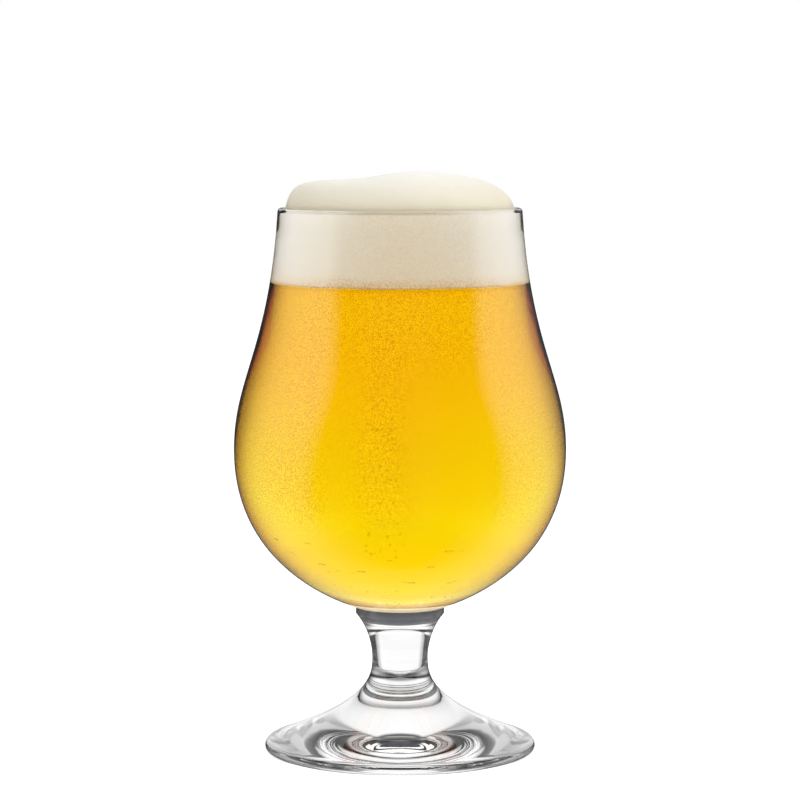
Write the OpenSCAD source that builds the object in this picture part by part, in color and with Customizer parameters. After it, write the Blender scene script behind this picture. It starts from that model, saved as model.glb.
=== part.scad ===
// Stemmed tulip beer glass, filled with lager under a head of foam.
// A blown bowl stands on a pressed stem and a pressed foot, fused while hot.
// Millimetres, +Z up. The origin is the centre of the ring on which the foot stands.

/* [Bowl] */
// Height of the drinking rim above the table
rim_z = 152; // [146:0.5:160]
// Radius of the rim, outside
rim_r = 34; // [31:0.5:37]
// Angle at which the neck leaves the rim, from the vertical
rim_lean = 3.75; // [1:0.25:7]
// Height of the widest ring of the belly above the table
belly_z = 84.5; // [80:0.5:90]
// Radius of the belly, outside
belly_r = 46.4; // [43:0.2:50]
// Height of the bowl's lowest outside point above the table
bowl_z = 37.8; // [35:0.2:40]
// Reach of the neck's curve below the rim
rim_pull = 39; // [30:0.5:44]
// Reach of the neck's curve above the belly
neck_pull = 20.6; // [14:0.2:26]
// Reach of the lower curve below the belly
belly_pull = 37.2; // [28:0.2:40]
// Reach of the lower curve out from the bowl's lowest point
base_pull = 8.6; // [5:0.2:20]
// Wall at the rim
rim_wall = 1.9; // [1.2:0.1:2.6]
// Wall at the belly
belly_wall = 2.2; // [1.4:0.1:3.2]
// Glass under the lowest point of the drink
base_wall = 3.4; // [2:0.2:5]

/* [Stem] */
// Radius of the stem's top, where it takes the bowl
seat_r = 12.4; // [10.6:0.2:14]
// Height of the stem's straight lip above the bowl's lowest point
lip_rise = 0.7; // [0.3:0.1:1.1]
// Angle at which the stem narrows under its lip, from the horizontal
throat_angle = 50; // [38:1:62]
// Reach of the stem's curve under its lip
throat_pull = 7; // [5:0.2:9]
// Reach of the stem's curve above the waist
upper_pull = 0.7; // [0.3:0.1:3]
// Height of the waist above the table
waist_z = 26; // [23:0.5:29]
// Radius of the waist
waist_r = 7.8; // [6.4:0.2:9.4]
// Reach of the flare below the waist
lower_pull = 5.7; // [4:0.1:8]
// How far along the flare, from waist to edge, the stem is joined to the foot
joint_share = 0.545; // [0.45:0.005:0.65]

/* [Foot] */
// Radius of the foot
foot_r = 38; // [34:0.5:42]
// Slope of the foot's top at its edge, from the horizontal
foot_slope = 20.3; // [16:0.1:24]
// Reach of the flare's curve in from the edge
foot_pull = 30.4; // [26:0.2:32]
// Rounding of the edge above its widest ring
edge_top_r = 1.7; // [1:0.1:2.4]
// Rounding of the edge below its widest ring
edge_low_r = 1.15; // [0.6:0.05:1.6]
// Width of the flat ring on which the glass stands
rest_w = 3.2; // [2:0.2:5]
// Rise of the hollow under the foot
dish_h = 2.4; // [1.2:0.1:3]

/* [Drink] */
// Height of the line between beer and foam above the table
fill_z = 131.4; // [118:0.2:142]
// Height of the foam's crown above the rim
crown_h = 10.6; // [6:0.2:16]
// Height of the foam's low shoulder above the rim
shoulder_h = 8.2; // [4:0.2:12]
// Clear ring between the foam's dome and the inside of the rim
dome_gap = 0.3; // [0.2:0.1:1]

/* [Hidden] */

// Steps along a curve, and the angle of each step round the foam's dome
curve_steps = 22;
arc_steps = 6;
dome_rings = 9;
dome_turn = 7.5;
// Overrun of a solid past the face that trims it
overrun = 1;

// Shares of the dome's radius between which the top climbs from shoulder to crown
climb_shares = [-0.55, 0.1];
// How square the dome's side is on the shoulder's side and on the crown's side
dome_powers = [9, 3.6];

lip_r = rim_wall / 2;
lip_z = rim_z - lip_r;
in_rim_r = rim_r - rim_wall;
floor_z = bowl_z + base_wall;
stem_top_z = bowl_z + lip_rise;
rest_r = foot_r - edge_low_r;
dish_r = rest_r - rest_w;
dome_r = in_rim_r - dome_gap;

// Glass is drawn thin so that what it holds shows through
glass_tint = [0.86, 0.92, 0.94, 0.4];
beer_tint = [0.96, 0.68, 0.04, 0.85];
foam_tint = [0.95, 0.93, 0.86];

function steps(count) = [for (i = [0 : count]) i / count];
function polar(angle) = [cos(angle), sin(angle)];
function smooth(t) = t * t * (3 - 2 * t);

// Point at share t of a cubic curve from a to d, drawn towards b and c
function curve(a, b, c, d, t) =
  pow(1 - t, 3) * a + 3 * t * pow(1 - t, 2) * b + 3 * t * t * (1 - t) * c + pow(t, 3) * d;

// Points [radius, height] of an arc about a centre
function arc(centre, radius, from, to) =
  [for (t = steps(arc_steps)) centre + radius * polar(from + (to - from) * t)];

// The bowl's side from rim to lowest point, for the outside or the inside
function neck(top_r, wide_r) =
  [for (t = steps(curve_steps))
    curve([top_r, lip_z], [top_r, lip_z] + rim_pull * [sin(rim_lean), -cos(rim_lean)],
          [wide_r, belly_z + neck_pull], [wide_r, belly_z], t)];
function lower(wide_r, low_z) =
  [for (t = steps(curve_steps))
    curve([wide_r, belly_z], [wide_r, belly_z - belly_pull], [base_pull, low_z], [0, low_z], t)];
function side(top_r, wide_r, low_z) =
  concat(neck(top_r, wide_r), [for (i = [1 : curve_steps]) lower(wide_r, low_z)[i]]);
function flip(points) = [for (i = [len(points) - 1 : -1 : 0]) points[i]];

// The stem's throat from lip to waist, and the flare from waist to the foot's edge
waist = [waist_r, waist_z];
throat = [for (t = steps(curve_steps))
  curve([seat_r, stem_top_z], [seat_r, stem_top_z] - throat_pull * polar(throat_angle),
        waist + [0, upper_pull], waist, t)];
edge_centre = [foot_r - edge_top_r, edge_low_r];
edge_top = edge_centre + edge_top_r * polar(90 - foot_slope);
function flare(t) =
  curve(waist, waist - [0, lower_pull], edge_top + foot_pull * polar(180 - foot_slope), edge_top, t);
joint = flare(joint_share);

// Height of the hollow under the foot at a radius
function hollow(r) = dish_h * (1 - pow(r / dish_r, 2));

// Height of the dome over its base at a share of its radius and an angle
function climb(s) = smooth(max(0, min(1, (s - climb_shares[0]) / (climb_shares[1] - climb_shares[0]))));
function power(angle) = dome_powers[0] + (dome_powers[1] - dome_powers[0]) * smooth((1 + cos(angle)) / 2);
function dome(share, angle) =
  (lip_r + shoulder_h + (crown_h - shoulder_h) * climb(share * cos(angle)))
  * sqrt(1 - pow(share, power(angle)));

// Everything inside the glass, left straight above the rim
module inside() {
  rotate_extrude()
    polygon(concat([[0, rim_z + crown_h], [in_rim_r, rim_z + crown_h]],
                   side(in_rim_r, belly_r - belly_wall, floor_z)));
}

// The drink between two heights
module drink(from, to) {
  intersection() {
    inside();
    translate([0, 0, from]) cylinder(h = to - from, r = belly_r);
  }
}

// The uneven top of the foam, on a skirt sunk into the foam below it
module foam_dome() {
  turns = [dome_turn : dome_turn : 360];
  count = len([for (a = turns) a]);
  rings = [for (i = [0 : dome_rings - 1]) cos(90 * i / dome_rings)];
  low = [0, 0, lip_z - overrun];
  top = [0, 0, lip_z + dome(0, 0)];
  skirt = [for (a = turns) [dome_r * cos(a), dome_r * sin(a), lip_z - overrun]];
  points = [for (s = rings, a = turns) [dome_r * s * cos(a), dome_r * s * sin(a), lip_z + dome(s, a)]];
  last = 1 + count * dome_rings;
  polyhedron(
    concat([low], skirt, points, [top]),
    concat(
      [for (j = [0 : count - 1]) [0, 1 + j, 1 + (j + 1) % count]],
      [for (i = [0 : dome_rings - 1], j = [0 : count - 1])
        [1 + i * count + j, 1 + (i + 1) * count + j, 1 + i * count + (j + 1) % count]],
      [for (i = [0 : dome_rings - 1], j = [0 : count - 1])
        [1 + i * count + (j + 1) % count, 1 + (i + 1) * count + j, 1 + (i + 1) * count + (j + 1) % count]],
      [for (j = [0 : count - 1]) [last + j, last + count, last + (j + 1) % count]]));
}

// Blown tulip with a rounded lip
module bowl() {
  color(glass_tint)
    rotate_extrude()
      polygon(concat(flip(side(in_rim_r, belly_r - belly_wall, floor_z)),
                     arc([rim_r - lip_r, lip_z], lip_r, 180, 0),
                     side(rim_r, belly_r, bowl_z)));
}

// Pressed stem whose top is a seat of the bowl's own shape
module stem() {
  color(glass_tint)
    difference() {
      rotate_extrude()
        polygon(concat([[0, joint[1]]],
                       [for (t = steps(curve_steps)) flare(joint_share * (1 - t))],
                       flip(throat),
                       [[seat_r, belly_z], [0, belly_z]]));
      rotate_extrude()
        polygon(concat([[0, rim_z]], neck(rim_r, belly_r), lower(belly_r, bowl_z)));
    }
}

// Pressed foot with a rounded edge and a hollow underside
module foot() {
  color(glass_tint)
    rotate_extrude()
      polygon(concat([[0, joint[1]]],
                     [for (t = steps(curve_steps)) flare(joint_share + (1 - joint_share) * t)],
                     arc(edge_centre, edge_top_r, 90 - foot_slope, 0),
                     arc([foot_r - edge_low_r, edge_low_r], edge_low_r, 0, -90),
                     [for (t = steps(curve_steps)) let (r = dish_r * (1 - t)) [r, hollow(r)]]));
}

module beer() {
  color(beer_tint) drink(floor_z - overrun, fill_z);
}

// Foam that fills the neck from the beer to the rim and stands up over it
module foam_head() {
  color(foam_tint) {
    drink(fill_z, lip_z);
    foam_dome();
  }
}

bowl();
stem();
foot();
beer();
foam_head();
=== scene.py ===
import math
import random

import bmesh
import bpy
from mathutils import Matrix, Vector, noise
from mathutils.geometry import interpolate_bezier


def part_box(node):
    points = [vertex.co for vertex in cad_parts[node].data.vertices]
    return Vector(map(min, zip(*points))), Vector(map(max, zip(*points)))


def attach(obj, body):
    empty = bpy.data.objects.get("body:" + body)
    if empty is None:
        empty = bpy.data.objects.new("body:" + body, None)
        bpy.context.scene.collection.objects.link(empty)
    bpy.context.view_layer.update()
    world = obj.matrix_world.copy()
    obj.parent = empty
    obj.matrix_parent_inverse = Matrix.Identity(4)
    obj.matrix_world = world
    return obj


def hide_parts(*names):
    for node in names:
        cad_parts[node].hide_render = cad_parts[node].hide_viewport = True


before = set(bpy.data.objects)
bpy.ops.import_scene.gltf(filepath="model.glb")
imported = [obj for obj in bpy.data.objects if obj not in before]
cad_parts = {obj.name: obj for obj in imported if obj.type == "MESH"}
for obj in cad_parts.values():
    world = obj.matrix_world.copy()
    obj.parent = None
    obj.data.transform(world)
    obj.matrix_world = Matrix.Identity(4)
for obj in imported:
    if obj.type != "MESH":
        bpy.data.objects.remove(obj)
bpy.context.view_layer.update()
mm = 0.001
scene = bpy.context.scene
white, black = "#ffffff", "#000000"

# settings of Mix nodes, whose two colours are 6 and 7 and whose share of the second is 0
mixed = {"data_type": "RGBA"}
multiplied = mixed | {"blend_type": "MULTIPLY", 0: 1.0}
added = mixed | {"blend_type": "ADD", 0: 1.0}


def linearColour(hexText):  # sRGB hex to the linear values that shaders take
    parts = [int(hexText[i:i + 2], 16) / 255 for i in (1, 3, 5)]
    return [p / 12.92 if p <= 0.04045 else ((p + 0.055) / 1.055) ** 2.4 for p in parts] + [1.0]


def rampColour(value):  # from a hex text, a grey level or three light levels
    if isinstance(value, str):
        return linearColour(value)
    if isinstance(value, (int, float)):
        return [value] * 3 + [1.0]
    return list(value) + [1.0]


def addNode(tree, kind, settings=None, links=None):  # one node, its settings and what feeds it
    node = tree.nodes.new("ShaderNode" + kind)
    for key, value in (settings or {}).items():
        if key == "stops":  # (place, colour) pairs of a ramp
            elements = node.color_ramp.elements
            while len(elements) < len(value):
                elements.new(1.0)
            for element, (place, colour) in zip(elements, value):
                element.position = place
                element.color = rampColour(colour)
        elif isinstance(key, int) or key in node.inputs:
            node.inputs[key].default_value = linearColour(value) if isinstance(value, str) else value
        else:
            setattr(node, key, value)
    for key, source in (links or {}).items():
        tree.links.new(source, node.inputs[key])
    return node


def newMaterial(name):
    material = bpy.data.materials.new(name)
    material.use_nodes = True
    material.node_tree.nodes.clear()
    return material, material.node_tree


# camera, at the height and distance that the ellipses of rim, beer line and foot give
cameraSetup = {"distance": 839 * mm, "height": 177.3 * mm, "tilt": 5.37, "lens": 135.8, "sensor": 36}
camera = bpy.data.objects.new("camera", bpy.data.cameras.new("camera"))
scene.collection.objects.link(camera)
camera.location = (0, -cameraSetup["distance"], cameraSetup["height"])
camera.rotation_euler = (math.radians(90 - cameraSetup["tilt"]), 0, 0)
camera.data.lens = cameraSetup["lens"]
camera.data.sensor_width = cameraSetup["sensor"]
scene.camera = camera
print("camera set")


# studio: a white screen behind the glass, tall soft boxes at its sides, one box overhead and a lit sweep
studio = {"floorRadius": 4.0, "floorGlow": 0.75, "floorDrop": 0.02 * mm, "openAir": 0.42,
          "boxShift": 6, "boxLean": 0.27,
          "top": {"place": (0.10, -0.06, 0.62), "aim": (0, 0, 0.15), "size": 0.5, "power": 2.35}}
scene.view_settings.view_transform = "Standard"
scene.cycles.max_bounces = 32
scene.cycles.transmission_bounces = 28
scene.cycles.glossy_bounces = 24
scene.cycles.transparent_max_bounces = 24

box = studio["top"]
topLight = bpy.data.lights.new("softbox_top", "AREA")
topLight.size = box["size"]
topLight.energy = box["power"] * math.pi * box["size"] ** 2
lamp = bpy.data.objects.new("softbox_top", topLight)
scene.collection.objects.link(lamp)
lamp.location = box["place"]
lamp.rotation_euler = (Vector(box["aim"]) - lamp.location).to_track_quat("-Z", "Y").to_euler()
lamp.visible_camera = lamp.visible_glossy = lamp.visible_transmission = False

world = bpy.data.worlds.new("studio")
scene.world = world
world.use_nodes = True
sky = world.node_tree
sky.nodes.clear()


def bySide(stops):  # places in degrees round from behind the glass, alike on both sides
    return [(degrees / 180, colour) for degrees, colour in stops]


def byRise(stops):  # places in degrees above level to shares, 0.5 level
    return [(degrees / 180 + 0.5, colour) for degrees, colour in stops]


rays = addNode(sky, "LightPath")
coord = addNode(sky, "TexCoord")
split = addNode(sky, "SeparateXYZ", links={0: coord.outputs["Generated"]})
turn = addNode(sky, "Math", {"operation": "ARCTAN2"}, {0: split.outputs["X"], 1: split.outputs["Y"]})
side = addNode(sky, "Math", {"operation": "ABSOLUTE"}, {0: turn.outputs[0]})
side = addNode(sky, "Math", {"operation": "DIVIDE", 1: math.pi}, {0: side.outputs[0]})
level = addNode(sky, "Math", {"operation": "ARCSINE"}, {0: split.outputs["Z"]})
level = addNode(sky, "Math", {"operation": "DIVIDE", 1: math.pi}, {0: level.outputs[0]})
rise = addNode(sky, "Math", {"operation": "ADD", 1: 0.5}, {0: level.outputs[0]})

# seen through clear glass: a white screen with dark flats on both sides of it
stops = bySide([(30, 1.05), (34, 0.86), (37.5, 0.63), (41.5, 0.52), (44.5, 0.06), (47, 0.01),
                (60, 0.01), (64, 0.06), (70, 0.14), (75, 0.42), (82, 0.6), (106, 0.66), (112, 0.36),
                (148, 0.3), (154, 0.95)])
flats = addNode(sky, "ValToRGB", {"stops": stops}, {"Fac": side.outputs[0]})

# it is shaded above and below, but the table is white where it is looked at straight from above
stops = byRise([(-80, 0.25), (-65, 0.33), (-54, 0.48), (-44, 0.84), (-30, 1.0), (40, 1.0), (46, 0.08)])
lid = addNode(sky, "ValToRGB", {"stops": stops}, {"Fac": rise.outputs[0]})
straight = addNode(sky, "Math", {"operation": "LESS_THAN", 1: 0.5}, {0: rays.outputs["Glossy Depth"]})
stops = byRise([(-58, 1.0), (-50, 0.0)])
steep = addNode(sky, "ValToRGB", {"stops": stops}, {"Fac": rise.outputs[0]})
straight = addNode(sky, "Math", {"operation": "MULTIPLY"},
                   {0: straight.outputs[0], 1: steep.outputs["Color"]})
lid = addNode(sky, "Mix", mixed | {7: white}, {0: straight.outputs[0], 6: lid.outputs[0]})
screen = addNode(sky, "Mix", multiplied, {6: flats.outputs[0], 7: lid.outputs[2]})

# seen through the beer: the sweep and the light above it, even all the way round
stops = byRise([(-20, (1.03, 1.04, 1)), (-12, (1.04, 1.1, 1)), (-5, (1.04, 1.18, 1)),
                (2, (1.06, 1.27, 1.2)), (8, (1.08, 1.39, 1.3)), (15, (1.1, 1.33, 1.6)),
                (24, (1.2, 1.4, 8)), (36, (1.22, 1.66, 12)), (42, (1.4, 2.25, 36)),
                (48, (1.25, 1.65, 22)), (60, (1.25, 1.7, 20)), (75, 0.3)])
sweep = addNode(sky, "ValToRGB", {"stops": stops}, {"Fac": rise.outputs[0]})
deep = addNode(sky, "Math", {"operation": "GREATER_THAN", 1: 4.5},
               {0: rays.outputs["Transmission Depth"]})
through = addNode(sky, "Mix", mixed, {0: deep.outputs[0], 6: screen.outputs[2], 7: sweep.outputs[0]})

# mirrored in the glass: two tall soft boxes that lean in, brightest at the top
aside = addNode(sky, "Math", {"operation": "ADD", 1: math.radians(studio["boxShift"])},
                {0: turn.outputs[0]})
aside = addNode(sky, "Math", {"operation": "ABSOLUTE"}, {0: aside.outputs[0]})
aside = addNode(sky, "Math", {"operation": "DIVIDE", 1: math.pi}, {0: aside.outputs[0]})
lean = addNode(sky, "Math", {"operation": "MULTIPLY_ADD", 1: -studio["boxLean"]},
               {0: level.outputs[0], 2: aside.outputs[0]})
stops = bySide([(20, 0.04), (35, 0.16), (50, 0.44), (65, 0.77), (85, 1.0), (104, 1.0), (118, 0.0)])
boxes = addNode(sky, "ValToRGB", {"stops": stops}, {"Fac": lean.outputs[0]})
stops = byRise([(-55, 0.1), (-40, 0.35), (-20, 0.8), (0, 1.2), (10, 1.42), (25, 1.6), (45, 1.6), (62, 0.0)])
height = addNode(sky, "ValToRGB", {"stops": stops}, {"Fac": rise.outputs[0]})
boxes = addNode(sky, "Mix", multiplied, {6: boxes.outputs[0], 7: height.outputs[0]})

# mirrored too: the lit sweep under and behind the glass, and the upper part of the screen
stops = bySide([(60, 1.0), (80, 0.8), (95, 0.5), (110, 0.25), (130, 0.05), (140, 0.0)])
spread = addNode(sky, "ValToRGB", {"stops": stops}, {"Fac": aside.outputs[0]})
stops = byRise([(-86, 0.6), (-70, 0.65), (-60, 0.85), (-50, 0.8), (-40, 0.65), (-30, 0.4),
                (-20, 0.2), (-5, 0.0)])
depth = addNode(sky, "ValToRGB", {"stops": stops}, {"Fac": rise.outputs[0]})
lower = addNode(sky, "Mix", multiplied, {6: spread.outputs[0], 7: depth.outputs[0]})
stops = bySide([(18, 1.0), (30, 0.0)])
middle = addNode(sky, "ValToRGB", {"stops": stops}, {"Fac": side.outputs[0]})
stops = byRise([(2, 0.0), (9, 1.0), (45, 1.0), (60, 0.3)])
upper = addNode(sky, "ValToRGB", {"stops": stops}, {"Fac": rise.outputs[0]})
upper = addNode(sky, "Mix", multiplied, {6: middle.outputs[0], 7: upper.outputs[0]})
mirror = addNode(sky, "Mix", added, {6: boxes.outputs[2], 7: lower.outputs[2]})
mirror = addNode(sky, "Mix", added, {6: mirror.outputs[2], 7: upper.outputs[2]})

# the light that falls on the foam: even in the open, and through the wall white at the sides, warm in front
openAir = (studio["openAir"],) * 3 + (1,)
stops = bySide([(0, 1.7), (60, (2.1, 2.2, 2.3)), (110, (2.1, 2.2, 2.3)), (130, (1.8, 1.75, 1.6)),
                (150, (1.45, 1.25, 0.85)), (180, (1.12, 0.86, 0.45))])
walls = addNode(sky, "ValToRGB", {"stops": stops}, {"Fac": side.outputs[0]})
shade = addNode(sky, "Mix", mixed | {6: openAir},
                {0: rays.outputs["Is Glossy Ray"], 7: mirror.outputs[2]})
shade = addNode(sky, "Mix", mixed,
                {0: rays.outputs["Is Transmission Ray"], 6: shade.outputs[2], 7: through.outputs[2]})
lit = addNode(sky, "Mix", mixed | {6: openAir},
              {0: rays.outputs["Is Transmission Ray"], 7: walls.outputs[0]})
bounced = addNode(sky, "Math", {"operation": "GREATER_THAN", 1: 0.5}, {0: rays.outputs["Diffuse Depth"]})
shade = addNode(sky, "Mix", mixed, {0: bounced.outputs[0], 6: shade.outputs[2], 7: lit.outputs[2]})
shade = addNode(sky, "Mix", mixed | {7: white},
                {0: rays.outputs["Is Camera Ray"], 6: shade.outputs[2]})
background = addNode(sky, "Background", {"Strength": 1.0}, {"Color": shade.outputs[2]})
addNode(sky, "OutputWorld", links={"Surface": background.outputs[0]})

floorMaterial, tree = newMaterial("white_paper_sweep")  # matt paper, lit evenly up to white
paper = addNode(tree, "BsdfDiffuse", {"Color": "#f3f3f3"})
glow = addNode(tree, "Emission", {"Color": white, "Strength": studio["floorGlow"]})
both = addNode(tree, "AddShader", links={0: paper.outputs[0], 1: glow.outputs[0]})
addNode(tree, "OutputMaterial", links={"Surface": both.outputs[0]})
bm = bmesh.new()
bmesh.ops.create_circle(bm, cap_ends=True, segments=96, radius=studio["floorRadius"])
floorMesh = bpy.data.meshes.new("floor")
bm.to_mesh(floorMesh)
bm.free()
floorMesh.materials.append(floorMaterial)
floor = bpy.data.objects.new("floor", floorMesh)
scene.collection.objects.link(floor)
floor.location.z = -studio["floorDrop"]
floor.visible_glossy = floor.visible_transmission = False
print("studio set")


def arcPoints(centre, radius, start, end, count):  # (radius, height) points, angles in degrees
    turns = [math.radians(start + (end - start) * i / count) for i in range(count + 1)]
    return [(centre[0] + radius * math.cos(a), centre[1] + radius * math.sin(a)) for a in turns]


def curvePoints(start, pullStart, pullEnd, end, count=28):
    knots = [Vector((p[0], p[1], 0)) for p in (start, pullStart, pullEnd, end)]
    return [(p.x, p.y) for p in interpolate_bezier(*knots, count)]


def towards(point, degrees, length):
    angle = math.radians(degrees)
    return point[0] + length * math.cos(angle), point[1] + length * math.sin(angle)


def turnPiece(outline, steps=160):  # spins (radius, height) points about the glass's axis
    bm = bmesh.new()
    ring = [bm.verts.new((r, 0, z)) for r, z in outline]
    edges = [bm.edges.new(pair) for pair in zip(ring, ring[1:])]
    bmesh.ops.spin(bm, geom=ring + edges, axis=(0, 0, 1), cent=(0, 0, 0),
                   angle=2 * math.pi, steps=steps, use_merge=True)
    bmesh.ops.remove_doubles(bm, verts=bm.verts, dist=0.001 * mm)
    bmesh.ops.recalc_face_normals(bm, faces=bm.faces)
    return bm


def finishPiece(bm, name, materials, node=None, sharp=40):
    for face in bm.faces:
        face.smooth = True
    for edge in bm.edges:
        edge.smooth = edge.calc_face_angle(0) < math.radians(sharp)
    mesh = bpy.data.meshes.new(name)
    bm.to_mesh(mesh)
    bm.free()
    for material in materials:
        mesh.materials.append(material)
    piece = bpy.data.objects.new(name, mesh)
    scene.collection.objects.link(piece)
    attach(piece, "root")
    if node:
        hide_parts(node)
    print(name, len(mesh.polygons), "faces")


def smoothStep(t):
    t = max(0.0, min(1.0, t))
    return t * t * (3 - 2 * t)


bowlLow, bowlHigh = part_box("bowl")
beerLow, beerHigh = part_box("beer")
foamLow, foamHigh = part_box("foam_head")
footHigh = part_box("foot")[1]

# bowl and stem come first, because their glass is painted by their sizes
bowl = {"rimRadius": 34 * mm, "rimWall": 1.9 * mm, "rimLean": 3.75, "rimPull": 39 * mm,
        "neckPull": 20.6 * mm, "bellyHeight": 84.5 * mm, "bellyPull": 37.2 * mm, "basePull": 8.6 * mm,
        "cloudRadius": 17 * mm, "curveSteps": 48, "lipSteps": 10}
stem = {"seatRadius": 12.4 * mm, "lipRise": 0.7 * mm, "throatAngle": 50, "throatPull": 7 * mm,
        "upperPull": 0.7 * mm, "waistHeight": 26 * mm, "waistRadius": 7.8 * mm, "lowerPull": 5.7 * mm,
        "jointShare": 0.545, "seatGap": 0.02 * mm}
glassIor = 1.52
wetIor = 1.134  # glass against beer


def shareOf(height, low, high):  # place of a height in millimetres on a ramp between two heights
    return (height * mm - low) / (high - low)


# blown soda-lime glass: clear, with a painted dark line, painted shade, where the wall is seen edge on,
# finer low on the belly and in front of the foam; painted dark grey, with a faint painted glow, where it
# shows inside the stem and foot
def makeBlownGlass():
    look = {"clearLip": (32 * mm, 30 * mm), "curledLip": (30.5 * mm, 33 * mm), "curlDark": 0.55,
            "lipDepth": (1.2 * mm, 0.8 * mm), "lineBelow": 0.001, "lineAbove": 0.003, "insideGrey": 0.09}
    material, tree = newMaterial("blown_soda_lime_glass")
    beerLine = beerHigh.z / bowlHigh.z
    underLine, overLine = beerLine - look["lineBelow"], beerLine + look["lineAbove"]
    place = addNode(tree, "TexCoord")
    split = addNode(tree, "SeparateXYZ", links={0: place.outputs["Object"]})
    share = addNode(tree, "MapRange", {"From Min": 0, "From Max": bowlHigh.z},
                    {"Value": split.outputs["Z"]})

    # how far the dark line is held back at each height
    stops = [(0.29, 0.25), (0.32, 0.2), (0.345, 0.13), (0.39, 0.12), (0.45, 0.14), (0.52, 0.13),
             (0.62, 0.01), (underLine, 0.0), (overLine, 0.28), (0.94, 0.28), (0.962, 0.2)]
    ease = addNode(tree, "ValToRGB", {"stops": stops}, {"Fac": share.outputs[0]})
    stops = [(underLine, 0.1), (overLine, 0.4), (0.942, 0.4), (0.962, 0.0)]
    hold = addNode(tree, "ValToRGB", {"stops": stops}, {"Fac": share.outputs[0]})

    # painted shade on the lip: clear on its flat top, painted dark where it curls over at both sides
    across = addNode(tree, "Math", {"operation": "ABSOLUTE"}, {0: split.outputs["X"]})
    start, end = look["clearLip"]
    ends = addNode(tree, "MapRange", {"From Min": start, "From Max": end}, {"Value": across.outputs[0]})
    start, end = look["curledLip"]
    curl = addNode(tree, "MapRange", {"From Min": start, "From Max": end, "To Max": look["curlDark"]},
                   {"Value": across.outputs[0]})
    start, end = look["lipDepth"]
    lip = addNode(tree, "MapRange", {"From Min": bowlHigh.z - start, "From Max": bowlHigh.z - end},
                  {"Value": split.outputs["Z"]})
    curl = addNode(tree, "Math", {"operation": "MULTIPLY"}, {0: curl.outputs[0], 1: lip.outputs[0]})
    shape = addNode(tree, "NewGeometry")
    split = addNode(tree, "SeparateXYZ", links={0: shape.outputs["Normal"]})
    flat = addNode(tree, "ValToRGB", {"stops": [(0.5, 0.0), (0.8, 0.7)]}, {"Fac": split.outputs["Z"]})
    flat = addNode(tree, "Math", {"operation": "MULTIPLY"}, {0: flat.outputs["Color"], 1: ends.outputs[0]})
    facing = addNode(tree, "LayerWeight", {"Blend": 0.5})
    facing = addNode(tree, "Math", {"operation": "SUBTRACT"},
                     {0: facing.outputs["Facing"], 1: flat.outputs[0]})
    facing = addNode(tree, "Math", {"operation": "ADD"}, {0: facing.outputs[0], 1: curl.outputs[0]})

    # painted brown shade towards the outline, and the painted dark line itself
    seen = addNode(tree, "Math", {"operation": "SUBTRACT"},
                   {0: facing.outputs[0], 1: ease.outputs["Color"]})
    stops = [(0.30, white), (0.43, "#f3f0ef"), (0.53, "#d8d1c7"), (0.62, "#afa48b"), (0.69, "#897c59"),
             (0.74, "#766945"), (0.78, "#554b27"), (0.81, "#121212")]
    edge = addNode(tree, "ValToRGB", {"stops": stops}, {"Fac": seen.outputs[0]})
    seen = addNode(tree, "Math", {"operation": "SUBTRACT"},
                   {0: facing.outputs[0], 1: hold.outputs["Color"]})
    line = addNode(tree, "ValToRGB", {"stops": [(0.76, 1.0), (0.81, 0.01)]}, {"Fac": seen.outputs[0]})
    edge = addNode(tree, "Mix", multiplied, {6: edge.outputs["Color"], 7: line.outputs["Color"]})

    # painted shade near the outline, tinted warm on the belly and cool in the neck
    stops = [(0.22, "#ffdde7"), (0.29, "#ffe2f3"), (0.335, "#ffe5f9"), (0.36, "#ffe5f9"),
             (0.48, "#ffebff"), (0.58, "#fff3ff"), (0.66, white), (0.74, white), (0.82, "#daffe1"),
             (underLine, "#daffe1"), (overLine, white)]
    cast = addNode(tree, "ValToRGB", {"stops": stops}, {"Fac": share.outputs[0]})
    close = addNode(tree, "MapRange", {"From Min": 0.52, "From Max": 0.72}, {"Value": facing.outputs[0]})
    edge = addNode(tree, "Mix", multiplied,
                   {0: close.outputs[0], 6: edge.outputs[2], 7: cast.outputs["Color"]})

    # painted shade and glow: where the bowl is seen through the stem and foot it is painted black with a
    # faint grey glow
    rays = addNode(tree, "LightPath")
    later = addNode(tree, "Math", {"operation": "GREATER_THAN", 1: 1.5},
                    {0: rays.outputs["Transmission Depth"]})
    later = addNode(tree, "Math", {"operation": "SUBTRACT", "use_clamp": True},
                    {0: later.outputs[0], 1: shape.outputs["Backfacing"]})
    tint = addNode(tree, "Mix", mixed | {7: black}, {0: later.outputs[0], 6: edge.outputs[2]})
    # the mirror reflection is painted dim low on the belly
    gloss = addNode(tree, "ValToRGB", {"stops": [(0.36, 0.1), (0.43, 1.0)]}, {"Fac": share.outputs[0]})
    grey = addNode(tree, "Math", {"operation": "MULTIPLY", 1: look["insideGrey"]}, {0: later.outputs[0]})
    shader = addNode(tree, "BsdfPrincipled",
                     {"Roughness": 0.0, "IOR": glassIor, "Transmission Weight": 1.0, "Emission Color": white},
                     {"Base Color": tint.outputs[2], "Emission Strength": grey.outputs[0],
                      "Specular Tint": gloss.outputs["Color"]})
    addNode(tree, "OutputMaterial", links={"Surface": shader.outputs[0]})
    return material
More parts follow.
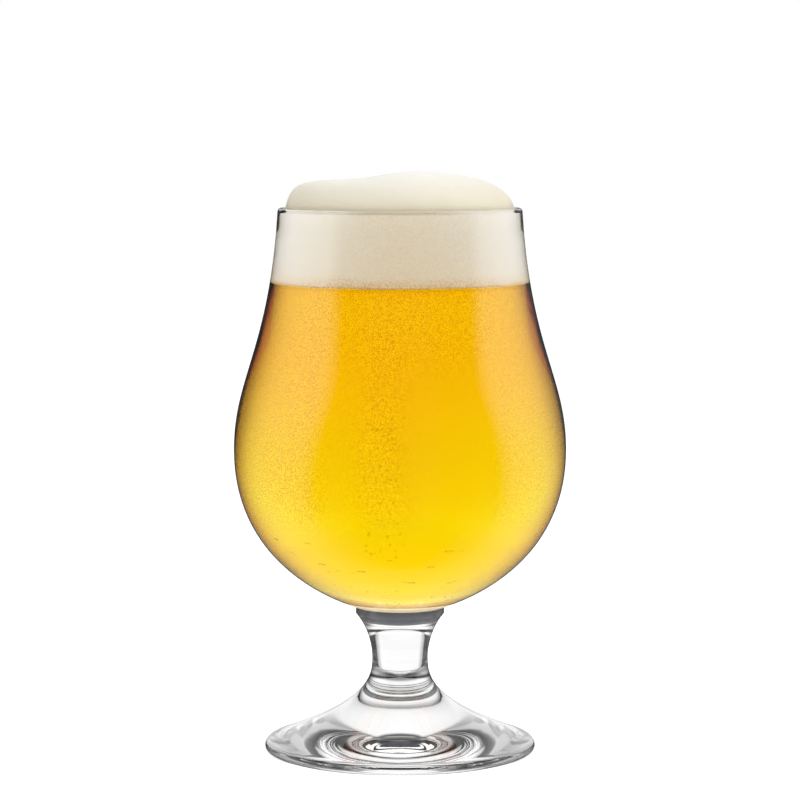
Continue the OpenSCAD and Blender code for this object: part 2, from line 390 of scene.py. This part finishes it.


# pressed soda-lime glass: clear, slightly wavy, bends the dark flats of the studio into streaks;
# painted dark, painted shade, where a wall is seen edge on, with a painted white sheen that glows instead on
# the foot's slope;
# in the mirror of the bowl it is painted black with a white glow, a painted reflection as white as the sweep
# under it
def makePressedGlass():
    look = {"wave": 7 * mm, "waveDepth": 0.1 * mm, "sheen": 0.45, "mirroredWhite": 0.7}
    material, tree = newMaterial("pressed_soda_lime_glass")
    place = addNode(tree, "TexCoord")
    wave = addNode(tree, "TexNoise", {"Scale": 1 / look["wave"], "Detail": 1.0},
                   {"Vector": place.outputs["Object"]})
    tint = addNode(tree, "ValToRGB", {"stops": [(0.3, 0.97), (0.6, 1.0)]}, {"Fac": wave.outputs["Fac"]})
    bump = addNode(tree, "Bump", {"Strength": 0.2, "Distance": look["waveDepth"]},
                   {"Height": wave.outputs["Fac"]})
    shape = addNode(tree, "NewGeometry")
    split = addNode(tree, "SeparateXYZ", links={0: shape.outputs["Normal"]})
    slope = addNode(tree, "MapRange", {"From Min": 0.5, "From Max": 0.7}, {"Value": split.outputs["Z"]})
    # painted light and shade: a white sheen glows on the foot's slope, and the walls are painted dark where
    # seen edge on
    facing = addNode(tree, "LayerWeight", {"Blend": 0.5})
    sheen = addNode(tree, "MapRange", {"From Min": 0.75, "From Max": 0.9, "To Max": look["sheen"]},
                    {"Value": facing.outputs["Facing"]})
    sheen = addNode(tree, "Math", {"operation": "MULTIPLY"}, {0: sheen.outputs[0], 1: slope.outputs[0]})
    stops = [(0.42, 1.0), (0.6, 0.4), (0.75, 0.12), (0.9, 0.02)]
    edge = addNode(tree, "ValToRGB", {"stops": stops}, {"Fac": facing.outputs["Facing"]})
    wall = addNode(tree, "Math", {"operation": "SUBTRACT", 0: 1.0}, {1: slope.outputs[0]})
    tint = addNode(tree, "Mix", multiplied,
                   {0: wall.outputs[0], 6: tint.outputs["Color"], 7: edge.outputs["Color"]})
    # painted reflection: seen mirrored in the bowl it is painted black and glows white
    rays = addNode(tree, "LightPath")
    outside = addNode(tree, "Math", {"operation": "LESS_THAN", 1: 0.5},
                      {0: rays.outputs["Transmission Depth"]})
    mirrored = addNode(tree, "Math", {"operation": "MULTIPLY", "use_clamp": True},
                       {0: rays.outputs["Glossy Depth"], 1: outside.outputs[0]})
    tint = addNode(tree, "Mix", mixed | {7: black}, {0: mirrored.outputs[0], 6: tint.outputs[2]})
    glow = addNode(tree, "Math", {"operation": "MULTIPLY_ADD", 1: look["mirroredWhite"]},
                   {0: mirrored.outputs[0], 2: sheen.outputs[0]})
    shader = addNode(tree, "BsdfPrincipled",
                     {"Roughness": 0.0, "IOR": glassIor, "Transmission Weight": 1.0, "Emission Color": white},
                     {"Base Color": tint.outputs[2], "Normal": bump.outputs[0],
                      "Emission Strength": glow.outputs[0]})
    addNode(tree, "OutputMaterial", links={"Surface": shader.outputs[0]})
    return material


# ground soda-lime glass: the ring that stands on the table, a little frosted, with a mottled painted shadow
# where it meets the table, dark grey and palest in front; its scuffs are drawn coarser than real, so that
# they show
# the mottle of the painted shadow is drawn coarse, so that it shows
def makeGroundRingShadow():
    look = {"shadowMottle": 0.8 * mm, "paleTo": -34 * mm, "greyFrom": -20 * mm}
    material, tree = newMaterial("ground_glass_ring_painted_shadow")
    place = addNode(tree, "TexCoord")
    # a mottled painted shadow where the ring meets the table, pale only at the very front
    shadowMottle = addNode(tree, "TexNoise", {"Scale": 1 / look["shadowMottle"], "Detail": 2.0},
                    {"Vector": place.outputs["Object"]})
    tint = addNode(tree, "ValToRGB", {"stops": [(0.35, "#272727"), (0.65, "#595959")]},
                   {"Fac": shadowMottle.outputs["Fac"]})
    split = addNode(tree, "SeparateXYZ", links={0: place.outputs["Object"]})
    back = addNode(tree, "MapRange", {"From Min": look["paleTo"], "From Max": look["greyFrom"]},
                   {"Value": split.outputs["Y"]})
    tint = addNode(tree, "Mix", mixed | {6: "#f9f9f9"}, {0: back.outputs[0], 7: tint.outputs["Color"]})
    shader = addNode(tree, "BsdfPrincipled",
                     {"Roughness": 0.05, "IOR": glassIor, "Transmission Weight": 1.0},
                     {"Base Color": tint.outputs[2]})
    addNode(tree, "OutputMaterial", links={"Surface": shader.outputs[0]})
    return material


# glass wetted by beer: bends little; gas clings to it as a fine grain, in bands low down
# and all round the top; the grain is drawn coarser than real, so that it shows
def makeWetWall():
    look = {"grain": 0.29 * mm, "dryAbove": 2 * mm}
    material, tree = newMaterial("beer_wetted_glass")
    low, high = beerLow.z, beerHigh.z + look["dryAbove"]
    place = addNode(tree, "TexCoord")
    split = addNode(tree, "SeparateXYZ", links={0: place.outputs["Object"]})
    share = addNode(tree, "MapRange", {"From Min": low, "From Max": high}, {"Value": split.outputs["Z"]})

    # where the grain is: bands by degrees round from the front, then by height in millimetres
    front = addNode(tree, "Math", {"operation": "MULTIPLY", 1: -1.0}, {0: split.outputs["Y"]})
    around = addNode(tree, "Math", {"operation": "ARCTAN2"}, {0: split.outputs["X"], 1: front.outputs[0]})
    around = addNode(tree, "MapRange", {"From Min": -math.pi, "From Max": math.pi},
                     {"Value": around.outputs[0]})
    stops = [(-90, 0.85), (-33, 1.0), (-24, 0.25), (-17, 0.35), (-11, 0.9), (-3, 1.0), (4, 0.5),
             (9, 0.06), (30, 0.06), (40, 0.7), (90, 0.75)]
    stops = [(degrees / 360 + 0.5, amount) for degrees, amount in stops]
    bands = addNode(tree, "ValToRGB", {"stops": stops}, {"Fac": around.outputs[0]})
    stops = [(33, 0.8), (42, 0.6), (54, 0.15), (62, 0.0), (72, 1.0)]
    stops = [(shareOf(z, low, high), amount) for z, amount in stops]
    belly = addNode(tree, "ValToRGB", {"stops": stops}, {"Fac": share.outputs[0]})
    stops = [(97, 0.0), (116, 0.8), (131.3, 1.0), (131.5, 0.0)]
    stops = [(shareOf(z, low, high), amount) for z, amount in stops]
    top = addNode(tree, "ValToRGB", {"stops": stops}, {"Fac": share.outputs[0]})
    mask = addNode(tree, "Math", {"operation": "MULTIPLY"},
                   {0: bands.outputs["Color"], 1: belly.outputs["Color"]})
    mask = addNode(tree, "Math", {"operation": "MAXIMUM"}, {0: mask.outputs[0], 1: top.outputs["Color"]})
    grain = addNode(tree, "TexNoise", {"Scale": 1 / look["grain"], "Detail": 1.0, "Roughness": 0.6},
                    {"Vector": place.outputs["Object"]})
    speck = addNode(tree, "ValToRGB", {"stops": [(0.4, "#dea890"), (0.57, white)]},
                    {"Fac": grain.outputs["Fac"]})
    tint = addNode(tree, "Mix", mixed | {6: "#f7e8e1"}, {0: mask.outputs[0], 7: speck.outputs["Color"]})

    # painted shade, darker and warmer towards the beer line, clear above it; light takes it up once, where it
    # first meets the wall
    stops = [(95, white), (111, "#ffefe8"), (127, "#f9dfbc"), (130, "#f7d1a6"), (131, "#d7b39b"),
             (131.35, white)]
    stops = [(shareOf(z, low, high), colour) for z, colour in stops]
    warm = addNode(tree, "ValToRGB", {"stops": stops}, {"Fac": share.outputs[0]})
    tint = addNode(tree, "Mix", multiplied, {6: tint.outputs[2], 7: warm.outputs["Color"]})
    rays = addNode(tree, "LightPath")
    first = addNode(tree, "Math", {"operation": "LESS_THAN", 1: 1.5},
                    {0: rays.outputs["Transmission Depth"]})
    tint = addNode(tree, "Mix", mixed | {6: white}, {0: first.outputs[0], 7: tint.outputs[2]})
    stops = [(shareOf(z, low, high), amount) for z, amount in ((131.3, 0.0), (131.5, 1.0))]
    dry = addNode(tree, "ValToRGB", {"stops": stops}, {"Fac": share.outputs[0]})
    tint = addNode(tree, "Mix", mixed | {7: white}, {0: dry.outputs["Color"], 6: tint.outputs[2]})
    shader = addNode(tree, "BsdfPrincipled",
                     {"Roughness": 0.0, "IOR": wetIor, "Transmission Weight": 1.0},
                     {"Base Color": tint.outputs[2]})
    addNode(tree, "OutputMaterial", links={"Surface": shader.outputs[0]})
    return material


# glass fused to glass: nothing shows
def makeFusedGlass():
    material, tree = newMaterial("fused_soda_lime_glass")
    shader = addNode(tree, "BsdfTransparent", {"Color": white})
    addNode(tree, "OutputMaterial", links={"Surface": shader.outputs[0]})
    return material


# bottom of the bowl where it was fused to the stem: clouded, cream, with fine rings drawn out by the heat;
# painted nearly black, with a faint painted grey glow, where it shows inside the stem and foot, and given a
# painted glow, as if lit from below, seen from inside the bowl
def makeClouded():
    look = {"cloud": 3 * mm, "ringsFrom": 12 * mm, "insideGrey": 0.02, "bowlGlow": 0.6}
    material, tree = newMaterial("clouded_fused_glass")
    place = addNode(tree, "TexCoord")
    cloud = addNode(tree, "TexNoise", {"Scale": 1 / look["cloud"], "Detail": 3.0},
                    {"Vector": place.outputs["Object"]})
    flat = addNode(tree, "VectorMath", {"operation": "MULTIPLY", 1: (1, 1, 0)},
                   {0: place.outputs["Object"]})
    flat = addNode(tree, "VectorMath", {"operation": "LENGTH"}, {0: flat.outputs["Vector"]})
    rings = addNode(tree, "MapRange", {"From Min": look["ringsFrom"], "From Max": bowl["cloudRadius"]},
                    {"Value": flat.outputs["Value"]})
    stops = [(0.0, "#a08d76"), (0.12, "#d6c6b0"), (0.3, "#c4ae8e"), (0.45, "#e4d4ba"), (0.65, "#d9c08e"),
             (0.85, "#efdb9e"), (1.0, "#f6e6a4")]
    cream = addNode(tree, "ValToRGB", {"stops": stops}, {"Fac": rings.outputs[0]})
    streak = addNode(tree, "ValToRGB", {"stops": [(0.35, 0.85), (0.65, 1.0)]}, {"Fac": cloud.outputs["Fac"]})
    tint = addNode(tree, "Mix", multiplied, {6: cream.outputs["Color"], 7: streak.outputs["Color"]})
    # painted shade: black with a faint grey glow where seen inside the stem and foot; a painted glow where
    # seen from inside the bowl
    rays = addNode(tree, "LightPath")
    later = addNode(tree, "Math", {"operation": "GREATER_THAN", 1: 0.5},
                    {0: rays.outputs["Transmission Depth"]})
    shape = addNode(tree, "NewGeometry")
    later = addNode(tree, "Math", {"operation": "SUBTRACT", "use_clamp": True},
                    {0: later.outputs[0], 1: shape.outputs["Backfacing"]})
    tint = addNode(tree, "Mix", mixed | {7: black}, {0: later.outputs[0], 6: tint.outputs[2]})
    grey = addNode(tree, "Math", {"operation": "MULTIPLY", 1: look["insideGrey"]}, {0: later.outputs[0]})
    glow = addNode(tree, "Math", {"operation": "MULTIPLY_ADD", 1: look["bowlGlow"]},
                   {0: shape.outputs["Backfacing"], 2: grey.outputs[0]})
    shader = addNode(tree, "BsdfPrincipled", {"Roughness": 0.5, "Emission Color": white},
                     {"Base Color": tint.outputs[2], "Emission Strength": glow.outputs[0]})
    addNode(tree, "OutputMaterial", links={"Surface": shader.outputs[0]})
    return material


# smoky seam on the stem's side of the joint: slate grey, with rings at the back painted white that glow,
# painted light
def makeSeam():
    look = {"cloud": 4 * mm, "backFrom": 2 * mm, "backTo": 6 * mm, "paintedRingGlow": 0.6,
            "slate": "#393f4a", "dark": "#1d2127", "paintedWhite": "#f4f4f2"}
    slate, dark, paintedWhite = look["slate"], look["dark"], look["paintedWhite"]
    material, tree = newMaterial("smoky_seam_glass")
    place = addNode(tree, "TexCoord")
    cloud = addNode(tree, "TexNoise", {"Scale": 1 / look["cloud"], "Detail": 3.0},
                    {"Vector": place.outputs["Object"]})
    flat = addNode(tree, "VectorMath", {"operation": "MULTIPLY", 1: (1, 1, 0)},
                   {0: place.outputs["Object"]})
    flat = addNode(tree, "VectorMath", {"operation": "LENGTH"}, {0: flat.outputs["Vector"]})
    out = addNode(tree, "MapRange", {"From Min": 0, "From Max": stem["seatRadius"]},
                  {"Value": flat.outputs["Value"]})
    stops = [(0.0, slate), (0.55, slate), (0.7, dark)]
    plain = addNode(tree, "ValToRGB", {"stops": stops}, {"Fac": out.outputs[0]})
    stops = [(0.0, slate), (0.55, slate), (0.59, paintedWhite), (0.67, paintedWhite), (0.71, dark), (0.82, dark),
             (0.87, paintedWhite)]
    ringed = addNode(tree, "ValToRGB", {"stops": stops}, {"Fac": out.outputs[0]})
    split = addNode(tree, "SeparateXYZ", links={0: place.outputs["Object"]})
    back = addNode(tree, "MapRange", {"From Min": look["backFrom"], "From Max": look["backTo"]},
                   {"Value": split.outputs["Y"]})
    rings = addNode(tree, "Mix", mixed,
                    {0: back.outputs[0], 6: plain.outputs["Color"], 7: ringed.outputs["Color"]})
    streak = addNode(tree, "ValToRGB", {"stops": [(0.35, 0.7), (0.65, 1.0)]}, {"Fac": cloud.outputs["Fac"]})
    tint = addNode(tree, "Mix", multiplied, {6: rings.outputs[2], 7: streak.outputs["Color"]})
    # painted light: the white rings at the back glow
    lit = look["paintedRingGlow"]
    stops = [(0.55, 0.0), (0.59, lit), (0.67, lit), (0.71, 0.0), (0.82, 0.0), (0.87, lit)]
    glow = addNode(tree, "ValToRGB", {"stops": stops}, {"Fac": out.outputs[0]})
    glow = addNode(tree, "Math", {"operation": "MULTIPLY"}, {0: glow.outputs["Color"], 1: back.outputs[0]})
    shader = addNode(tree, "BsdfPrincipled", {"Roughness": 0.4, "Emission Color": white},
                     {"Base Color": tint.outputs[2], "Emission Strength": glow.outputs[0]})
    addNode(tree, "OutputMaterial", links={"Surface": shader.outputs[0]})
    return material


# pale lager: clear, golden where it is deep
def makeLager():
    look = {"absorbs": (0.998, 0.925, 0.001, 1), "density": 90.0}  # linear, finer than hex can say
    material, tree = newMaterial("pale_lager")
    shader = addNode(tree, "BsdfPrincipled",
                     {"Base Color": white, "Roughness": 0.0, "IOR": 1.0, "Transmission Weight": 1.0})
    depth = addNode(tree, "VolumeAbsorption", {"Color": look["absorbs"], "Density": look["density"]})
    addNode(tree, "OutputMaterial", links={"Surface": shader.outputs[0], "Volume": depth.outputs[0]})
    return material


# gas in beer: bright middle, with a painted dark ring, painted shade, at its outline
def makeGas():
    material, tree = newMaterial("carbon_dioxide_bubble")
    facing = addNode(tree, "LayerWeight", {"Blend": 0.5})
    ring = addNode(tree, "ValToRGB", {"stops": [(0.2, white), (0.5, "#695021")]},
                   {"Fac": facing.outputs["Facing"]})
    shader = addNode(tree, "BsdfPrincipled", {"Roughness": 0.0, "IOR": 1.2, "Transmission Weight": 1.0},
                     {"Base Color": ring.outputs["Color"]})
    addNode(tree, "OutputMaterial", links={"Surface": shader.outputs[0]})
    return material


# beer froth: painted whiter on top, as painted light from above, cream below, tan and coarse at the beer
# line, with patches of fine ripples;
# its bubbles are drawn coarser than real, so that they show
def makeFroth():
    look = {"cloud": 9 * mm, "stray": 2 * mm, "grain": 0.5 * mm, "ripple": 1.3 * mm, "patch": 6 * mm,
            "grainyFrom": -20 * mm, "grainyTo": -8 * mm, "sideDepth": -20 * mm, "frontDepth": -29 * mm,
            "shoulderFrom": -20 * mm, "shoulderTo": -29 * mm, "rippleDepth": 0.25 * mm}
    material, tree = newMaterial("beer_froth")
    place = addNode(tree, "TexCoord")
    split = addNode(tree, "SeparateXYZ", links={0: place.outputs["Object"]})
    cloud = addNode(tree, "TexNoise", {"Scale": 1 / look["cloud"], "Detail": 4.0},
                    {"Vector": place.outputs["Object"]})
    level = addNode(tree, "Math", {"operation": "MULTIPLY_ADD", 1: look["stray"], 2: -look["stray"] / 2},
                    {0: cloud.outputs["Fac"]})
    level = addNode(tree, "Math", {"operation": "ADD"}, {0: split.outputs["Z"], 1: level.outputs[0]})
    share = addNode(tree, "MapRange", {"From Min": foamLow.z, "From Max": foamHigh.z},
                    {"Value": level.outputs[0]})
    # painted light: the dome is painted whiter towards its top
    stops = [(0.0, "#ecd3ac"), (0.015, "#f5e6d0"), (0.035, "#f9efe0"), (0.1, "#f9f4ec"), (0.5, "#f9f6f1"),
             (0.62, "#f9f6f1"), (0.66, "#f3e9d0"), (0.75, "#f3ebd4"), (0.85, "#f5efdf"), (0.95, "#faf7ed"),
             (1.0, "#fefcf7")]
    cream = addNode(tree, "ValToRGB", {"stops": stops}, {"Fac": share.outputs[0]})

    # grain: coarse at the beer line, faint on the right of the plug, strongest in front
    grain = addNode(tree, "TexNoise", {"Scale": 1 / look["grain"], "Detail": 1.0, "Roughness": 0.6},
                    {"Vector": place.outputs["Object"]})
    speck = addNode(tree, "ValToRGB", {"stops": [(0.36, "#e7dac7"), (0.6, white)]},
                    {"Fac": grain.outputs["Fac"]})
    stops = [(0.0, 0.9), (0.03, 0.5), (0.1, 0.12), (0.2, 0.0)]
    coarse = addNode(tree, "ValToRGB", {"stops": stops}, {"Fac": share.outputs[0]})
    right = addNode(tree, "MapRange", {"From Min": look["grainyFrom"], "From Max": look["grainyTo"],
                                       "To Min": 0.02, "To Max": 0.15}, {"Value": split.outputs["X"]})
    plug = addNode(tree, "ValToRGB", {"stops": [(0.6, 1.0), (0.65, 0.3)]}, {"Fac": share.outputs[0]})
    right = addNode(tree, "Math", {"operation": "MULTIPLY"}, {0: right.outputs[0], 1: plug.outputs["Color"]})
    coarse = addNode(tree, "Math", {"operation": "MAXIMUM"},
                     {0: coarse.outputs["Color"], 1: right.outputs[0]})
    front = addNode(tree, "MapRange", {"From Min": look["sideDepth"], "From Max": look["frontDepth"],
                                       "To Min": 0.35, "To Max": 1.8}, {"Value": split.outputs["Y"]})
    coarse = addNode(tree, "Math", {"operation": "MULTIPLY", "use_clamp": True},
                     {0: coarse.outputs[0], 1: front.outputs[0]})
    tint = addNode(tree, "Mix", multiplied,
                   {0: coarse.outputs[0], 6: cream.outputs["Color"], 7: speck.outputs["Color"]})

    # ripples where a film has folded, most of them on the low shoulder; a wave's scale is 0.31 per band
    folds = addNode(tree, "TexWave", {"Scale": 0.31 / look["ripple"], "Distortion": 2.5, "Detail": 1.0,
                                      "bands_direction": "DIAGONAL"}, {"Vector": place.outputs["Object"]})
    patch = addNode(tree, "TexNoise", {"Scale": 1 / look["patch"], "Detail": 0.0},
                    {"Vector": place.outputs["Object"]})
    shoulder = addNode(tree, "MapRange", {"From Min": look["shoulderFrom"], "From Max": look["shoulderTo"],
                                          "To Max": 0.25}, {"Value": split.outputs["X"]})
    patch = addNode(tree, "Math", {"operation": "ADD"}, {0: patch.outputs["Fac"], 1: shoulder.outputs[0]})
    patch = addNode(tree, "MapRange", {"From Min": 0.56, "From Max": 0.75}, {"Value": patch.outputs[0]})
    folds = addNode(tree, "Math", {"operation": "MULTIPLY"}, {0: folds.outputs["Fac"], 1: patch.outputs[0]})
    above = addNode(tree, "ValToRGB", {"stops": [(0.6, 0.0), (0.64, 1.0)]}, {"Fac": share.outputs[0]})
    folds = addNode(tree, "Math", {"operation": "MULTIPLY"}, {0: folds.outputs[0], 1: above.outputs["Color"]})
    height = addNode(tree, "Math", {"operation": "MULTIPLY_ADD", 1: 0.25},
                     {0: grain.outputs["Fac"], 2: folds.outputs[0]})
    bump = addNode(tree, "Bump", {"Strength": 0.3, "Distance": look["rippleDepth"]},
                   {"Height": height.outputs[0]})
    shader = addNode(tree, "BsdfPrincipled", {"Roughness": 0.55, "Specular IOR Level": 0.3},
                     {"Base Color": tint.outputs[2], "Normal": bump.outputs[0]})
    addNode(tree, "OutputMaterial", links={"Surface": shader.outputs[0]})
    return material


blownGlass = makeBlownGlass()
pressedGlass = makePressedGlass()
groundRingShadow = makeGroundRingShadow()
wetWall = makeWetWall()
fusedGlass = makeFusedGlass()
clouded = makeClouded()
seam = makeSeam()
lager = makeLager()
gas = makeGas()
froth = makeFroth()
print("materials made")

# bowl: one closed skin, inside, over the lip and down the outside
lipRadius = bowl["rimWall"] / 2
lipHeight = bowlHigh.z - lipRadius


def bowlSide(rimRadius, bellyRadius, lowest):  # from the rim down to the axis
    rim = (rimRadius, lipHeight)
    belly = (bellyRadius, bowl["bellyHeight"])
    neck = curvePoints(rim, towards(rim, bowl["rimLean"] - 90, bowl["rimPull"]),
                       (bellyRadius, belly[1] + bowl["neckPull"]), belly, bowl["curveSteps"])
    lower = curvePoints(belly, (bellyRadius, belly[1] - bowl["bellyPull"]),
                        (bowl["basePull"], lowest), (0, lowest), bowl["curveSteps"])
    return neck + lower[1:]


def cutAt(points, index, value, top=1.0):  # the point of an outline under top at a radius (0) or height (1)
    for a, b in zip(points, points[1:]):
        if (a[index] - value) * (b[index] - value) <= 0 and a[1] < top:
            t = (value - a[index]) / (b[index] - a[index])
            return a[0] + t * (b[0] - a[0]), a[1] + t * (b[1] - a[1])


outside = bowlSide(bowl["rimRadius"], bowlHigh.x, bowlLow.z)
inside = bowlSide(bowl["rimRadius"] - bowl["rimWall"], beerHigh.x, beerLow.z)
lip = arcPoints((bowl["rimRadius"] - lipRadius, lipHeight), lipRadius, 180, 0, bowl["lipSteps"])
seatEdge = cutAt(outside, 0, stem["seatRadius"], bowl["bellyHeight"])
seat = [seatEdge] + [p for p in outside if p[1] < seatEdge[1]]
bm = turnPiece(inside[::-1] + lip[1:-1] + [p for p in outside if p[1] > seatEdge[1]] + seat)
for face in bm.faces:
    centre = face.calc_center_median()
    inward = face.normal.x * centre.x + face.normal.y * centre.y < 0
    if inward and centre.z < lipHeight:
        face.material_index = 1
    elif centre.z < bowl["bellyHeight"] and centre.xy.length < bowl["cloudRadius"]:
        face.material_index = 2
finishPiece(bm, "glass_bowl", [blownGlass, wetWall, clouded], "bowl")

# stem and foot share the flare from waist to edge
foot = {"slope": 20.3, "pull": 30.4 * mm, "edgeTop": 1.7 * mm, "edgeLow": 1.15 * mm, "restWidth": 3.2 * mm,
        "dishRise": 2.4 * mm, "dishSteps": 24, "edgeSteps": 8, "groundHeight": 1.2 * mm,
        "flareSteps": 200, "flareStride": 3}
levelFace = 0.999  # how far up or down a face points that lies level
upperFace = 0.5  # and one that looks up at all
near = 0.1 * mm
stride = foot["flareStride"]
waist = (stem["waistRadius"], stem["waistHeight"])
edgeCentre = (footHigh.x - foot["edgeTop"], foot["edgeLow"])
edgeStart = towards(edgeCentre, 90 - foot["slope"], foot["edgeTop"])
flare = curvePoints(waist, (waist[0], waist[1] - stem["lowerPull"]),
                    towards(edgeStart, 180 - foot["slope"], foot["pull"]), edgeStart, foot["flareSteps"] + 1)
jointIndex = round(stem["jointShare"] * foot["flareSteps"])
joint = flare[jointIndex]
stemTop = (stem["seatRadius"], bowlLow.z + stem["lipRise"])
throat = curvePoints(stemTop, towards(stemTop, 180 + stem["throatAngle"], stem["throatPull"]),
                     (waist[0], waist[1] + stem["upperPull"]), waist)
outline = [(0, joint[1])] + flare[jointIndex::-stride] + throat[::-1][1:]
outline += [(r, z - stem["seatGap"]) for r, z in seat]  # the gap keeps the two faces of the joint apart
bm = turnPiece(outline)
for face in bm.faces:
    if face.calc_center_median().z > bowlLow.z - near and face.normal.z > upperFace:
        face.material_index = 2
    elif face.normal.z < -levelFace:
        face.material_index = 1
finishPiece(bm, "glass_stem", [pressedGlass, fusedGlass, seam], "stem")

restRadius = footHigh.x - foot["edgeLow"]
dishRadius = restRadius - foot["restWidth"]
shares = [1 - i / foot["dishSteps"] for i in range(foot["dishSteps"] + 1)]
hollow = [(dishRadius * share, foot["dishRise"] * (1 - share ** 2)) for share in shares]
footEdge = arcPoints(edgeCentre, foot["edgeTop"], 90 - foot["slope"], 0, foot["edgeSteps"])
footEdge += arcPoints((restRadius, foot["edgeLow"]), foot["edgeLow"], 0, -90, foot["edgeSteps"])[1:]
bm = turnPiece([(0, joint[1])] + flare[jointIndex:-1:stride] + footEdge + hollow)
for face in bm.faces:
    centre = face.calc_center_median()
    if face.normal.z > levelFace:
        face.material_index = 1
    elif centre.z < foot["groundHeight"] and centre.xy.length > dishRadius - near:
        face.material_index = 2
finishPiece(bm, "glass_foot", [pressedGlass, fusedGlass, groundRingShadow], "foot")

# beer, a hair clear of the wall that holds it
beer = {"gap": 0.03 * mm}
gap = beer["gap"]
line = cutAt(inside, 1, beerHigh.z)
body = [(0, line[1] - gap), (line[0] - gap, line[1] - gap)]
body += [(max(0, r - gap), z + gap) for r, z in inside if z < line[1] - 2 * gap]
finishPiece(turnPiece(body), "beer_fill", [lager], "beer")

# foam: a plug in the neck and an uneven dome over the rim
foam = {"crown": 10.05 * mm, "shoulder": 7.7 * mm, "climb": (-0.5, 0.2), "squareness": (9, 2.85),
        "gap": 0.3 * mm, "rings": 48, "ringRise": 0.1 * mm, "turns": 200,
        "lump": 0.18 * mm, "lumpSize": 5 * mm, "lumpsFrom": 0.5 * mm,
        "fringe": 0.5 * mm, "fringeSize": 1.6 * mm, "fringeFrom": 10 * mm}
touch = 0.01 * mm
topRadius = bowl["rimRadius"] - bowl["rimWall"] - foam["gap"]
plug = [(r - 2 * gap, z) for r, z in inside if line[1] < z < lipHeight]
outline = [(0, line[1]), (line[0] - 2 * gap, line[1])] + plug[::-1]
outline += [(topRadius * math.cos(math.pi / 2 * i / foam["rings"]), lipHeight + foam["ringRise"] * i)
            for i in range(foam["rings"] + 1)]  # a cone for now; domeHeight gives the real heights
bm = turnPiece(outline, foam["turns"])


def domeHeight(x, y):
    radius = math.hypot(x, y)
    share = min(1.0, radius / topRadius)
    side = x / radius if radius > 0 else 0
    square, rounded = foam["squareness"]
    power = square + (rounded - square) * smoothStep((1 + side) / 2)
    low, high = foam["climb"]
    climb = smoothStep((x / topRadius - low) / (high - low))
    top = lipRadius + foam["shoulder"] + (foam["crown"] - foam["shoulder"]) * climb
    return top * math.sqrt(max(0, 1 - share ** power))


for vert in bm.verts:
    if vert.co.z > lipHeight - touch:
        vert.co.z = lipHeight + domeHeight(vert.co.x, vert.co.y)
bm.normal_update()
for vert in bm.verts:
    if vert.co.z > lipHeight + foam["lumpsFrom"]:
        vert.co += vert.normal * foam["lump"] * noise.noise(vert.co / foam["lumpSize"])
    elif abs(vert.co.z - line[1]) < touch and vert.co.xy.length > foam["fringeFrom"]:
        vert.co.z -= foam["fringe"] * (0.5 + 0.5 * noise.noise(vert.co / foam["fringeSize"]))
finishPiece(bm, "foam_crown", [froth], "foam_head")

# bubbles: a loose string near the axis, beads that cling to the floor, some that lie stretched on the wall
bubbles = {"seed": 11, "string": 70, "beads": 150, "stretched": 64, "size": (0.1 * mm, 0.24 * mm),
           "crowding": 1.5, "stringLow": 62 * mm, "stringTall": 55 * mm,
           "stringPlace": (-2.5, 0), "stringSpread": (2.4, 3),  # in millimetres, across and in depth
           "beadRise": (0.6, 9), "lyingRise": (9, 22),  # in millimetres above the floor of the bowl
           "clinging": 1.15, "stretch": (2.5, 5), "wallGap": 0.6 * mm, "lift": 0.3 * mm,
           "segments": 8, "rings": 5}
rng = random.Random(bubbles["seed"])
spots = []  # place, size, stretch along x
for i in range(bubbles["string"]):
    z = bubbles["stringLow"] + bubbles["stringTall"] * rng.random() ** bubbles["crowding"]
    x, y = [rng.gauss(*both) * mm for both in zip(bubbles["stringPlace"], bubbles["stringSpread"])]
    spots.append(((x, y, z), rng.uniform(*bubbles["size"]), 1.0))
for i in range(bubbles["beads"] + bubbles["stretched"]):
    lying = i >= bubbles["beads"]
    low, tall = bubbles["beadRise"]
    rise = rng.uniform(*bubbles["lyingRise"]) if lying else low + tall * rng.random() ** bubbles["crowding"]
    z = beerLow.z + rise * mm
    radius = cutAt(inside, 1, z, bowl["bellyHeight"])[0] - bubbles["wallGap"]
    angle = rng.uniform(0, 2 * math.pi)
    place = (radius * math.cos(angle), radius * math.sin(angle), z + bubbles["lift"])
    size = rng.uniform(*bubbles["size"]) * bubbles["clinging"]
    spots.append((place, size, rng.uniform(*bubbles["stretch"]) if lying else 1.0))
bm = bmesh.new()
bmesh.ops.create_uvsphere(bm, u_segments=bubbles["segments"], v_segments=bubbles["rings"], radius=1.0)
bead = bpy.data.meshes.new("bead")
bm.to_mesh(bead)
bm.free()
bm = bmesh.new()
for place, size, stretch in spots:
    count = len(bm.verts)
    bm.from_mesh(bead)
    bm.verts.ensure_lookup_table()
    fresh = bm.verts[count:]
    bmesh.ops.scale(bm, vec=(size * stretch, size, size), verts=fresh)
    bmesh.ops.translate(bm, vec=place, verts=fresh)
bpy.data.meshes.remove(bead)
finishPiece(bm, "beer_bubbles", [gas], sharp=90)
